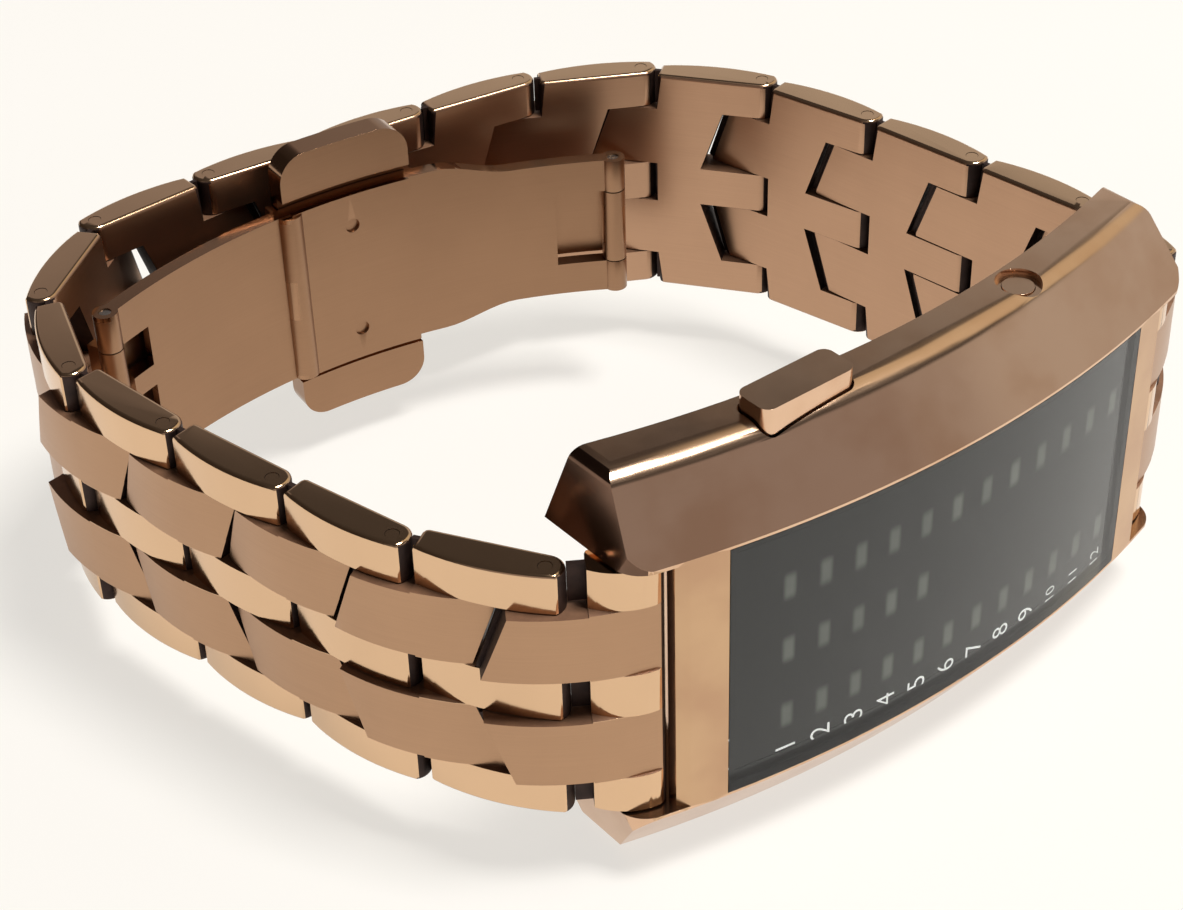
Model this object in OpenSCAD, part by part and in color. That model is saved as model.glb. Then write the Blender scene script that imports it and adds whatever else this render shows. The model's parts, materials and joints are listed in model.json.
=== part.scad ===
// Digital watch with a curved rectangular case, lamp display, five-row link
// bracelet and butterfly clasp. It stands on the side of its case, as it lies
// in a hand-sized closed loop: Z runs along the wrist, the crystal faces -Y.

/* [Case] */
// Width of the case across both side rails, along the wrist
case_w = 31.6; // [31:0.1:33]
// Length of the case over its four lug tips
case_len = 50.6; // [50:0.1:52]
// Radius of the curved front
front_radius = 90; // [85:1:120]
// Depth from the front curve to the crease between bevel and side strip
bevel_drop = 3.7; // [3.5:0.1:4]
// Depth of the flat side strip, which carries the pushers
strip_depth = 3.3; // [3.1:0.1:3.5]
// Depth from the front of the case to the seat of its back plate
seat_depth = 8.7; // [8.5:0.1:9.3]
// Thickness of the back plate
back_plate_t = 1.4; // [1.2:0.1:1.8]
// Width of the crossbar between the crystal and the bracelet
crossbar_len = 3.4; // [3.2:0.1:4]
// Amount by which a lug tip slants back at its outer corner
lug_slant = 1.3; // [0.8:0.1:1.6]
// Radius of a lug tip's front edge
tip_round = 2.5; // [1.5:0.1:3.5]
// Radius of a lug tip's outer corner
corner_round = 1.1; // [0.6:0.1:1.4]
// Radius of the soft crease between bevel and side strip
crease_round = 2; // [1:0.1:2.4]

/* [Crystal and display] */
// Length of the crystal across the wrist
crystal_len = 37.3; // [37:0.1:37.8]
// Width of the crystal along the wrist
crystal_w = 20.4; // [20:0.1:20.4]
// Thickness of the crystal
crystal_t = 1.2; // [1:0.1:1.4]
// Thickness of the curved mask behind the crystal
mask_t = 0.5; // [0.4:0.1:0.7]
// Distance from the crystal's left end to the first row of lamps
lamp_first = 5; // [4.8:0.1:5.4]
// Length of one lamp along the wrist
lamp_len = 1.9; // [1.5:0.1:2.2]
// Width of one lamp
lamp_w = 0.9; // [0.7:0.1:1.1]

/* [Movement] */
// Thickness of the circuit board
board_t = 0.8; // [0.6:0.1:1]
// Radius of the coin battery
battery_r = 10; // [9.5:0.1:10.4]
// Thickness of the coin battery
battery_t = 1.6; // [1.2:0.1:1.7]
// Radius of a case-back screw's thread
screw_r = 0.5; // [0.4:0.05:0.6]
// Radius of a case-back screw's head
screw_head_r = 1; // [0.9:0.05:1.1]

/* [Pushers] */
// Length of the main pusher's head along the case
pusher_len = 7.6; // [7:0.1:9]
// Depth of the main pusher's head
pusher_depth = 3; // [2.8:0.1:3.2]
// Height of the main pusher's head above the side strip
pusher_rise = 1.2; // [1:0.1:1.4]
// Distance of the main pusher from the middle of the case
pusher_x = 10; // [9.5:0.1:11]
// Travel of both case pushers
pusher_travel = 0.8; // [0.5:0.1:0.9]
// Distance of the small setting pusher from the middle of the case
set_x = 10; // [9:0.1:12]
// Radius of the small setting pusher
set_r = 1.1; // [0.9:0.05:1.2]

/* [Bracelet] */
// Width of the bracelet over its five rows
band_w = 20; // [19.8:0.05:20.1]
// Width of the centre row
centre_row_w = 3.4; // [3:0.1:3.8]
// Width of each brushed row
wide_row_w = 5.3; // [5:0.1:5.5]
// Distance between the two hinge pins of a link
link_pitch = 10.15; // [9.95:0.05:10.35]
// Distance between the two hinge pins of an end link
end_link_pitch = 6; // [5.85:0.05:6.2]
// Distance between the two hinge pins of the short sizing link on the right
short_link_pitch = 8.05; // [7.9:0.05:8.25]
// Half of a link's thickness below its crown
half_t = 1.25; // [1.15:0.05:1.3]
// Height of a polished row's crown above the pins
narrow_crown = 1.4; // [1.3:0.05:1.5]
// Height of a brushed row's crown above the pins
wide_crown = 1.65; // [1.55:0.05:1.75]
// Fall of a polished row's crown towards the link's ends
narrow_fall = 0.65; // [0.5:0.05:0.75]
// Fall of a brushed row's crown towards its ends
wide_fall = 0.95; // [0.6:0.05:1]
// Reach of a brushed row past the hinge pin, halfway along its slant
reach = 3.7; // [3.4:0.1:3.9]
// Slant of a brushed row's end across its width
row_slant = 1.8; // [0.8:0.1:1.9]
// Radius of a hinge pin
pin_r = 0.45; // [0.4:0.01:0.5]
// Gap between the ends of neighbouring rows
row_gap = 0.4; // [0.25:0.05:0.45]
// Extra gap between an end link's polished rows and the first link
end_link_gap = 0.8; // [0.3:0.1:1]
// Gap between the sides of neighbouring rows
side_gap = 0.1; // [0.08:0.01:0.12]

/* [Clasp] */
// Radius of the folded clasp's inner face
clasp_radius = 46; // [44:0.5:48]
// Depth of the clasp's inner face below the hinge pins at the seam
clasp_depth = 5; // [4.9:0.1:5.3]
// Thickness of the long base blade
base_t = 1.2; // [1:0.1:1.3]
// Thickness of both folding arms
arm_t = 1; // [0.8:0.1:1]
// Width of the base blade
base_w = 14.8; // [14.4:0.1:15.2]
// Width of the base blade's narrow right wing
wing_w = 12.2; // [12:0.1:13]
// Angle from the middle of the clasp to its end hinges
hinge_angle = 28; // [27:0.5:29]
// Radius of the clasp's knuckles
knuckle_r = 0.95; // [0.9:0.01:1]
// Half of the length between the two push-buttons' outer faces
button_reach = 12; // [11.8:0.1:12.4]
// Travel of a clasp push-button
button_travel = 0.8; // [0.5:0.1:0.9]

/* [Hidden] */
$fn = 48;
fine = 360;      // facets of the large front and clasp curves
eps = 0.01;
fit = 0.03;      // radial clearance of a pin in its bore
slip = 0.1;      // clearance of pieces that slip into each other
pin_sink = 0.03; // of a hinge pin's ends below the bracelet's sides
gold = [0.86, 0.66, 0.50];
brushed_gold = [0.72, 0.55, 0.42];
steel = [0.72, 0.72, 0.72];

// Directions of the links in the photograph, case to clasp, in degrees
left_end_dir = 147;
right_end_dir = 33;
left_dirs = [121.3, 104.4, 102.6, 98.6, 72.3, 38.5, 2.2];
right_dirs = [84.6, 97, 97.6, 102.8, 126.2, 150.3, 171];
seam_dir = -6.5;
turning_link = 4;    // link after which a closing strand may bend
last = len(left_dirs);
left_pitches = [for (d = left_dirs) link_pitch];
right_pitches = [for (i = [0:last - 1]) i == 0 ? short_link_pitch : link_pitch];

// Case levels, measured from the front's highest line towards the wrist
crease_r = front_radius - bevel_drop;
strip_back_r = crease_r - strip_depth;
lug_back_r = strip_back_r - 1.1;
lug_gap = band_w + 0.4;
bevel_edge = crystal_w / 2 + 0.25;
crossbar_x = crystal_len / 2 + crossbar_len;
crossbar_edge = crossbar_len / 5;
bezel_seat_w = 1;
opening_x = crystal_len / 2 - bezel_seat_w;
opening_z = crystal_w / 2 - bezel_seat_w;
crystal_r = front_radius - crystal_t;
mask_gap = 0.15;
mask_r = crystal_r - mask_gap;
cavity_x = opening_x + 0.55;
cavity_z = 11.6;
cavity_front = 4.1;
board_y = cavity_front + 0.3;
board_x = cavity_x - 0.3;
board_z = cavity_z - 0.3;
boss_depth = 0.8;
clip_t = 0.15;
battery_y = seat_depth - boss_depth - 0.1 - clip_t - battery_t;
battery_x = board_x - battery_r - 1.8;
plate_x = crossbar_x - 1.05;
plate_z = 12.6;
plate_rim = 0.3;
screw_x = plate_x - screw_head_r - 0.3;
screw_z = 9.5;
gasket_w = 0.55;

// Hinge of each end link: a spring bar between the lugs
lug_pin_x = crossbar_x + 0.95;
lug_pin_y = 5.1;
lug_bar_r = 0.6;
lug_tip_r = 0.4;
lug_tip_len = 1.3;

// Lamps: rows along the case, columns along the wrist
lamp_count = 12;
lamp_last = 2.05;
lamp_pitch = (crystal_len - lamp_first - lamp_last) / (lamp_count - 1);
lamp_x0 = lamp_first - crystal_len / 2;
lamp_cols = [[-0.2966 * crystal_w, lamp_count], [-0.0196 * crystal_w, 5],
    [0.2377 * crystal_w, lamp_count]];
chip_half = 2.8;
chip_x = -board_x + chip_half + 1.7;
chip_z = chip_half + 1.4;

function front_y(r, x) = front_radius - sqrt(r * r - x * x);
strip_mid_r = crease_r - strip_depth / 2;
pusher_y = front_y(strip_mid_r, pusher_x) - 0.2;
set_y = front_y(strip_mid_r, set_x) - 0.2;

// Pushers: pockets, stems and return springs, from the side strip inwards
pusher_pocket = pusher_travel + 0.75;
pocket_gap = 0.15;
stem_r = 0.7;
set_stem_r = 0.4;
stem_end = 12.3;
spring_wire = 0.1;
spring_r = 0.9;
spring_depth = 1.3;
seat_gap = 0.02;     // of a spring at either end
set_sink = 0.35;
set_head = 1.15;
set_travel = 0.5;
set_depth = 2.4 + set_travel;

// Bracelet: half widths at the row boundaries
z_centre = centre_row_w / 2;
z_wide = z_centre + wide_row_w;
z_edge = band_w / 2;
row_end = link_pitch - half_t - row_gap;
seam_gap = 0.4;

// The strands as chains of pins. Each is bent a little, about its first pin
// and the pin after turning_link, until both meet at the seam.
function step(a) = [cos(a), sin(a)];
function reach_of(dirs, steps, first, n) =
    n < first ? [0, 0] : steps[n] * step(dirs[n]) + reach_of(dirs, steps, first, n - 1);
function bearing(v) = atan2(v[1], v[0]);

left_start = [-lug_pin_x, lug_pin_y] + end_link_pitch * step(left_end_dir);
right_start = [lug_pin_x, lug_pin_y] + end_link_pitch * step(right_end_dir);
seam_step = (row_end + seam_gap / 2) * step(seam_dir);
left_seam = left_start + reach_of(left_dirs, left_pitches, 0, last - 1) + seam_step;
right_seam = right_start + reach_of(right_dirs, right_pitches, 0, last - 1) - seam_step;
seam = (left_seam + right_seam) / 2;

// Angles of a triangle with sides a and b over the base d
function corner(a, b, d) = acos((a * a + d * d - b * b) / (2 * a * d));
function bend(dirs, steps, start, goal, side) =
    let (v1 = reach_of(dirs, steps, 0, turning_link - 1),
         v2 = reach_of(dirs, steps, turning_link, last - 1),
         a = norm(v1), b = norm(v2), d0 = norm(v1 + v2), d = norm(goal - start),
         t1 = bearing(goal - start) + side * corner(a, b, d)
            - bearing(v1 + v2) - side * corner(a, b, d0),
         knee = start + a * step(bearing(v1) + t1),
         t2 = bearing(goal - knee) - bearing(v2))
    [for (i = [0:last - 1]) dirs[i] + (i < turning_link ? t1 : t2)];
left_goal = seam - seam_step;
right_goal = seam + seam_step;
left_angles = concat([left_end_dir],
    bend(left_dirs, left_pitches, left_start, left_goal, 1), [seam_dir]);
right_angles = concat([right_end_dir],
    bend(right_dirs, right_pitches, right_start, right_goal, -1), [180 + seam_dir]);
function pitch(side, i) = i == 0 ? end_link_pitch : i > last ? link_pitch
    : side < 0 ? left_pitches[i - 1] : right_pitches[i - 1];
function pin_at(side, angles, i) = i == 0 ? [side * lug_pin_x, lug_pin_y]
    : pin_at(side, angles, i - 1) + pitch(side, i - 1) * step(angles[i - 1]);
left_pins = [for (i = [0:last + 1]) pin_at(-1, left_angles, i)];
right_pins = [for (i = [0:last + 1]) pin_at(1, right_angles, i)];

// The box round the whole watch, from points along the links' crowns
function crown_r(half, fall) = (half * half + fall * fall) / (2 * fall);
wide_start = reach + row_gap / 2;
function wide_end(pitch_now) = pitch_now + reach + row_slant / 2 - row_gap / 2;
function wide_top(x, x0, x1) =
    let (r = crown_r((x1 - x0) / 2, wide_fall), m = (x1 + x0) / 2)
    wide_crown - r + sqrt(r * r - (x - m) * (x - m));
function outer_points(pins, angles, side) =
    [for (i = [0:last + 1]) for (k = [0:12])
        let (x0 = i == 0 ? -half_t : wide_start - row_slant / 2,
             x1 = i > last ? row_end : wide_end(pitch(side, i)),
             x = x0 + (x1 - x0) * k / 12, y = -side * wide_top(x, x0, x1), a = angles[i])
        pins[i] + [x * cos(a) - y * sin(a), x * sin(a) + y * cos(a)]];
outline = concat(outer_points(left_pins, left_angles, -1),
                 outer_points(right_pins, right_angles, 1));
low_x = min([for (p = outline) p[0]]);
high_x = max([for (p = outline) p[0]]);
high_y = max([for (p = outline) p[1]]);
centre_x = (low_x + high_x) / 2;
centre_y = high_y / 2;

// Clasp levels, in the frame of the seam: Y away from the wrist
clasp_cy = -clasp_depth - clasp_radius;
blade_r = clasp_radius + base_t;
hinge_r = clasp_radius + base_t / 2;
arm_r0 = blade_r + 0.3;
arm_r1 = arm_r0 + arm_t;
tip_x = seam_gap / 2 + 1;
tip_y = -0.35;
tip_pin_r = 0.35;
tip_knuckle_r = 0.7;
tip_w = 4.2;
right_slot = 6.6;
left_slot = 8.6;
cover_t = 0.45;
cover_x = 5.1;
cover_mid = 0.5;
rib_w = 0.5;
rib_z = 4.5;         // stop rib that carries each button's spring
rib_t = 0.4;
button_bore_end = 7;
spring_y = -clasp_depth + base_t + 0.65;
button_x = 5.5;

// Shared shapes

// The points of an arc that rounds the corner b of an outline a, b, c
function rounding(a, b, c, r, steps) =
    let (u = (a - b) / norm(a - b), v = (c - b) / norm(c - b), half = acos(u * v) / 2,
         middle = b + r / sin(half) * (u + v) / norm(u + v),
         t0 = bearing(b + r / tan(half) * u - middle),
         turn = (bearing(b + r / tan(half) * v - middle) - t0 + 540) % 360 - 180)
    [for (k = [0:steps]) middle + r * step(t0 + turn * k / steps)];

module placed() translate([-centre_x, -centre_y, case_w / 2]) children();

// A slab of the given section (radius, height) turned about the front's axis
module turned(section, sweep = 40)
    translate([0, front_radius, 0]) rotate(-90 - sweep / 2)
        rotate_extrude(angle = sweep, $fn = fine) polygon(section);

// A box centred on X and Z, from y0 to y1
module slab(half_x, half_z, y0, y1)
    translate([-half_x, y0, -half_z]) cube([2 * half_x, y1 - y0, 2 * half_z]);

// A plate cut from the front's curve, between two radii
module curved_plate(half_x, half_z, r0, r1) intersection() {
    turned([[r0, -half_z], [r1, -half_z], [r1, half_z], [r0, half_z]]);
    slab(half_x, 2 * half_z, -1, front_radius / 4);
}

// An outline in X and Z, as deep as needed along Y
module plan(points, y0, y1)
    translate([0, y1, 0]) rotate([90, 0, 0]) linear_extrude(y1 - y0) polygon(points);

module rounded_square(w, d, r) {
    square([w - 2 * r, d], center = true);
    square([w, d - 2 * r], center = true);
    for (x = [-1, 1], y = [-1, 1])
        translate([x * (w / 2 - r), y * (d / 2 - r)]) circle(r);
}

module rod(r, z0, z1) translate([0, 0, z0]) cylinder(r = r, h = z1 - z0);

// A hollow along Y
module bore_y(r, y0, y1) translate([0, y1, 0]) rotate([90, 0, 0]) cylinder(r = r, h = y1 - y0);

// A coil of round wire along Z, swept as one tube
module coil(r, wire, h, turns) {
    rings = 12 * turns;
    sides = 6;
    rise = (h - 2 * wire) / rings;
    points = [for (i = [0:rings]) for (k = [0:sides - 1])
        let (t = 30 * i, a = 60 * k, d = r + wire * cos(a))
        [d * cos(t), d * sin(t), wire + rise * i + wire * sin(a)]];
    sides_faces = [for (i = [0:rings - 1]) for (k = [0:sides - 1])
        let (a = sides * i + k, b = sides * i + (k + 1) % sides)
        for (f = [[a, b, b + sides], [a, b + sides, a + sides]]) f];
    cap0 = [for (k = [1:sides - 2]) [0, k + 1, k]];
    n = sides * rings;
    cap1 = [for (k = [1:sides - 2]) [n, n + k, n + k + 1]];
    polyhedron(points, concat(sides_faces, cap0, cap1));
}

// Case

module case_slab() intersection() {
    side = concat([[lug_back_r, lug_gap / 2 - 0.4], [strip_back_r, case_w / 2]],
        rounding([strip_back_r, case_w / 2], [crease_r, case_w / 2], [front_radius, bevel_edge],
                 crease_round, 7),
        [[front_radius, bevel_edge]]);
    end = len(side) - 1;
    turned(concat(side, [for (k = [end:-1:0]) [side[k][0], -side[k][1]]]));
    tip = [case_len / 2, lug_gap / 2 - 0.3];
    quarter = concat([tip], rounding(tip, [case_len / 2 - lug_slant, case_w / 2],
        [0, case_w / 2], corner_round, 6));
    plan([for (s = [[1, 1], [-1, 1], [-1, -1], [1, -1]]) for (k = [0:len(quarter) - 1])
            let (p = quarter[s[0] == s[1] ? k : len(quarter) - 1 - k]) [s[0] * p[0], s[1] * p[1]]],
        -1, front_radius / 4);
    translate([0, 0, -case_w]) linear_extrude(2 * case_w) case_profile();
}

// The case seen along the wrist, with the lug tips' front edges rounded off
module case_profile() {
    c = case_len / 2 - tip_round;
    meet = c * front_radius / (front_radius - tip_round);
    y = front_y(front_radius - tip_round, c) - 0.02;
    translate([-meet, -1]) square([2 * meet, front_radius / 4]);
    translate([-case_len / 2, y]) square([case_len, front_radius / 4]);
    for (x = [-c, c]) translate([x, y]) circle(tip_round);
}

module lug_space(side) mirror([side < 0 ? 1 : 0, 0, 0]) {
    translate([0, 0, -lug_gap / 2]) linear_extrude(lug_gap) {
        translate([crossbar_x, -1]) square([10, 20]);
        translate([lug_pin_x, lug_pin_y]) {
            circle(half_t + 0.2);
            translate([-half_t - 0.2, 0]) square([10, 20]);
        }
        // Room behind the back plate's end, down to a low rim
        translate([plate_x - 1, seat_depth + plate_rim]) square([10, 20]);
        // Slope along the crossbar's outer edge
        translate([crossbar_x - crossbar_edge, front_y(front_radius, crossbar_x - crossbar_edge)])
            rotate(45) translate([-0.4, -2]) square([4, 2]);
    }
    translate([lug_pin_x, lug_pin_y, 0])
        rod(lug_tip_r + fit, -lug_gap / 2 - lug_tip_len, lug_gap / 2 + lug_tip_len);
}

module screw_places() for (x = [-1, 1], z = [-1, 1])
    translate([x * screw_x, 0, z * screw_z]) children();

module case_body() color(gold) placed() difference() {
    union() {
        case_slab();
        slab(plate_x + 0.4, plate_z + 0.6, seat_depth - 3, seat_depth);
    }
    for (side = [-1, 1]) lug_space(side);
    curved_plate(crystal_len / 2 + 0.05, crystal_w / 2 + 0.05, crystal_r - eps, front_radius + 2);
    slab(opening_x, opening_z, -1, seat_depth);
    slab(cavity_x, cavity_z, cavity_front, seat_depth + 1);
    slab(plate_x + 0.05, plate_z + 0.05, seat_depth, seat_depth + 10);
    screw_places() bore_y(screw_r + fit, seat_depth - 2.6, seat_depth + 1);
    translate([-pusher_x, pusher_y, 0]) {
        translate([0, 0, case_w / 2 - pusher_pocket]) linear_extrude(10)
            rounded_square(pusher_len + 2 * pocket_gap, pusher_depth + 2 * pocket_gap, 0.9);
        rod(stem_r + 0.05, cavity_z - 1, case_w / 2);
        rod(spring_r + spring_wire + slip, case_w / 2 - pusher_pocket - spring_depth, case_w / 2);
    }
    translate([set_x, set_y, 0]) {
        rod(set_r + 0.5, case_w / 2 - 0.45, case_w / 2 + 1);
        rod(set_r + 0.05, case_w / 2 - set_depth, case_w / 2 + 1);
        rod(set_stem_r + 0.05, cavity_z - 1, case_w / 2);
    }
}

module crystal() color([0.10, 0.13, 0.13, 0.55]) placed()
    curved_plate(crystal_len / 2, crystal_w / 2, crystal_r, front_radius);

module lamp_places() for (c = lamp_cols, i = [0:c[1] - 1])
    translate([lamp_x0 + lamp_pitch * i, 0, c[0]]) children();

module display_mask() color([0.12, 0.14, 0.14]) placed() difference() {
    curved_plate(opening_x - slip, opening_z - slip, mask_r - mask_t, mask_r);
    lamp_places() slab(lamp_w / 2 + 0.1, lamp_len / 2 + 0.1, -1, board_y);
}

module led_lamps() color([0.55, 0.60, 0.55]) placed()
    for (c = lamp_cols, i = [0:c[1] - 1])
        let (x = lamp_x0 + lamp_pitch * i)
        translate([x, 0, c[0]])
            slab(lamp_w / 2, lamp_len / 2, front_y(mask_r, x) + 0.1, board_y);

module circuit_board() color([0.10, 0.35, 0.20]) placed()
    slab(board_x, board_z, board_y, board_y + board_t);

// Two driver chips and the clock crystal's can, on the board's back
module board_chips() color([0.15, 0.15, 0.16]) placed()
    translate([0, board_y + board_t, 0]) {
        for (z = [-chip_z, chip_z]) translate([chip_x, 0, z]) slab(chip_half, chip_half, 0, 0.9);
        translate([chip_x + chip_half + 1.7, 0.55, 0]) rod(0.5, -3, 3);
    }

module movement_frame() color([0.20, 0.20, 0.22]) placed() difference() {
    slab(board_x, board_z, board_y + board_t, battery_y + battery_t);
    translate([battery_x, 0, 0]) bore_y(battery_r + 0.05, battery_y, seat_depth + 1);
    translate([battery_x, 0, 0]) bore_y(battery_r - 3, board_y, seat_depth);
    translate([chip_x + 1.1, 0, 0]) slab(chip_half + 1.8, chip_z + chip_half + 0.6, board_y, seat_depth);
}

module battery() color(steel) placed() translate([battery_x, 0, 0])
    bore_y(battery_r, battery_y, battery_y + battery_t);

module battery_clip() color([0.80, 0.66, 0.35]) placed()
    translate([battery_x, battery_y + battery_t, 0]) {
        bore_y(4, 0, clip_t);
        slab(battery_r + 1.6, 1.6, 0, clip_t);
    }

module case_back() color(steel) placed() difference() {
    union() {
        slab(plate_x, plate_z, seat_depth, seat_depth + back_plate_t);
        slab(cavity_x - gasket_w - slip, cavity_z - gasket_w - slip,
             seat_depth - boss_depth, seat_depth + eps);
    }
    screw_places() {
        bore_y(screw_r + 0.1, seat_depth - 1, seat_depth + back_plate_t + 1);
        bore_y(screw_head_r + 0.05, seat_depth + back_plate_t - 0.6, seat_depth + back_plate_t + 1);
    }
}

module back_gasket() color([0.08, 0.08, 0.08]) placed() difference() {
    slab(cavity_x - slip / 2, cavity_z - slip / 2, seat_depth - boss_depth + 0.1, seat_depth);
    slab(cavity_x - gasket_w, cavity_z - gasket_w, 0, seat_depth + 1);
}

module back_screws() color(steel) placed() screw_places() difference() {
    union() {
        bore_y(screw_r, seat_depth - 2.4, seat_depth + back_plate_t - 0.6 + eps);
        bore_y(screw_head_r, seat_depth + back_plate_t - 0.6, seat_depth + back_plate_t - 0.1);
    }
    slab(0.15, 2, seat_depth + back_plate_t - 0.35, seat_depth + back_plate_t + 1);
}

module main_pusher() color(gold) placed() translate([-pusher_x, pusher_y, 0]) {
    translate([0, 0, case_w / 2 - pusher_pocket + pusher_travel])
        linear_extrude(pusher_rise + pusher_pocket - pusher_travel)
            rounded_square(pusher_len, pusher_depth, 0.75);
    rod(stem_r, stem_end, case_w / 2);
}

module set_pusher() color(gold) placed() translate([set_x, set_y, 0]) {
    rod(set_r, case_w / 2 - set_sink - set_head, case_w / 2 - set_sink);
    rod(set_stem_r, stem_end, case_w / 2 - 1);
}

module pusher_springs() color(steel) placed() {
    translate([-pusher_x, pusher_y, case_w / 2 - pusher_pocket - spring_depth + seat_gap])
        coil(spring_r, spring_wire, spring_depth + pusher_travel - 2 * seat_gap, 5);
    translate([set_x, set_y, case_w / 2 - set_depth + seat_gap])
        coil(set_r - 0.3, spring_wire, set_depth - set_sink - set_head - 2 * seat_gap, 3);
}

module spring_bar(z_tip) {
    rod(lug_bar_r, -z_tip + lug_tip_len, z_tip - lug_tip_len);
    rod(lug_tip_r, -z_tip, z_tip);
}

module spring_bar_right() color(steel) placed() translate([lug_pin_x, lug_pin_y, 0])
    spring_bar(lug_gap / 2 + lug_tip_len - 0.1);

// The left bar is shown as a strap tool leaves it, with both tips drawn in
module spring_bar_left() color(steel) placed() translate([-lug_pin_x, lug_pin_y, 0])
    spring_bar(band_w / 2 - 0.2);

// Bracelet links. A link lies along X from its first pin, outer face up (+Y).

module crowned(x0, x1, top, fall) intersection() {
    translate([x0, -half_t]) square([x1 - x0, half_t + top + 1]);
    translate([(x0 + x1) / 2, top - crown_r((x1 - x0) / 2, fall)])
        circle(crown_r((x1 - x0) / 2, fall), $fn = fine);
}

// Side view of a polished row: round at the first pin, square at its far end
module narrow_side(end) intersection() {
    union() {
        circle(half_t);
        translate([0, -half_t]) square([end, half_t + narrow_crown]);
    }
    crowned(-half_t, end, narrow_crown, narrow_fall);
}

module wide_side(x0, x1) intersection() {
    crowned(x0, x1, wide_crown, wide_fall);
    polygon([[x0 - 1, 2 * wide_crown], [x0 - 1, -half_t], [x1 - 0.5, -half_t],
        [x1 + 0.05, 0.55 - half_t], [x1 + 0.05, 2 * wide_crown]]);
}

// Plan of one brushed row, as X and Z points: slanted ends, freed at its sides
module wide_plan(pitch_now, end, x0, last_link) {
    a = row_slant / 2;
    s = reach - row_gap / 2;
    far = last_link ? [[end, z_wide], [end, z_centre]]
        : [[end, z_wide], [end, z_wide - side_gap], [pitch_now + s - a, z_wide - side_gap],
           [pitch_now + s + a, z_centre + side_gap], [end, z_centre + side_gap],
           [end, z_centre]];
    near = x0 < 0 ? [[x0, z_centre], [x0, z_wide]]
        : [[x0 + a, z_centre], [x0 - a, z_wide]];
    plan(concat(far, near), -5, 5);
}

module rows(z0, z1) for (m = [0, 1]) mirror([0, 0, m])
    translate([0, 0, z0]) linear_extrude(z1 - z0) children();

module link_body(pitch_now, first, last_link) {
    end = pitch_now - half_t - row_gap - (first ? end_link_gap : 0);
    x0 = first ? -half_t : wide_start;
    x1 = last_link ? end : wide_end(pitch_now);
    difference() {
        union() {
            rows(z_wide, z_edge) narrow_side(end);
            rows(0, z_centre) narrow_side(end);
            for (m = [0, 1]) mirror([0, 0, m]) intersection() {
                translate([0, 0, z_centre]) linear_extrude(wide_row_w)
                    if (first) intersection() {
                        union() {
                            circle(half_t);
                            translate([0, -half_t]) square([x1 + 1, 2 * half_t + wide_crown]);
                        }
                        wide_side(x0, x1);
                    } else wide_side(x0 - row_slant / 2, x1);
                wide_plan(pitch_now, end, x0, last_link);
            }
        }
        rod((first ? lug_bar_r : pin_r) + fit, -band_w, band_w);
        if (!last_link) translate([pitch_now, 0, 0]) rod(pin_r + fit, -band_w, band_w);
        if (last_link) tip_slot(end);
    }
}

// Room in a last link for the arm's tip, open to the wrist and to the seam
module tip_slot(end) {
    tip = end - (tip_x - seam_gap / 2);
    translate([tip - 2, -half_t - 1, -tip_w / 2 - slip])
        cube([4, half_t + 1.5, tip_w + 2 * slip]);
    translate([tip, tip_y, 0]) rod(tip_pin_r + fit, -z_edge + 0.4, z_edge - 0.4);
}

module link_at(side, i) placed() {
    pins = side < 0 ? left_pins : right_pins;
    angles = side < 0 ? left_angles : right_angles;
    translate(concat(pins[i], 0)) rotate(angles[i]) mirror([0, side < 0 ? 0 : 1, 0])
        link_body(pitch(side, i), i == 0, i == last + 1);
}

module link(side, i) color(i % 2 == 0 ? brushed_gold : gold) link_at(side, i);

module hinge_pin(side, i) color(steel) placed()
    translate(concat((side < 0 ? left_pins : right_pins)[i], 0))
        rod(pin_r, -z_edge + pin_sink, z_edge - pin_sink);

// Clasp, in the frame of the seam

module at_seam() placed() translate(concat(seam, 0)) rotate(seam_dir) children();

// A sector of the clasp's curve between two angles from its middle
module sector(r0, r1, a0, a1, half_z) translate([0, clasp_cy, -half_z])
    rotate(90 - a1) rotate_extrude(angle = a1 - a0, $fn = fine)
        translate([r0, 0]) square([r1 - r0, 2 * half_z]);

module at_hinge(side) translate([side * hinge_r * sin(hinge_angle),
    clasp_cy + hinge_r * cos(hinge_angle), 0]) children();

module at_tip(side) translate([side * tip_x, tip_y, 0]) children();

function blend(t) = t * t * (3 - 2 * t);

module base_plan() {
    edge = [for (k = [0:8]) [8 + 6 * k / 8, base_w / 2 - (base_w - wing_w) / 2 * blend(k / 8)]];
    top = concat([[-26, base_w / 2]], edge, [[26, wing_w / 2]]);
    low = [for (k = [len(top) - 1:-1:0]) [top[k][0], -top[k][1]]];
    translate([0, 20, 0]) rotate([90, 0, 0]) linear_extrude(80) polygon(concat(top, low));
}

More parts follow.
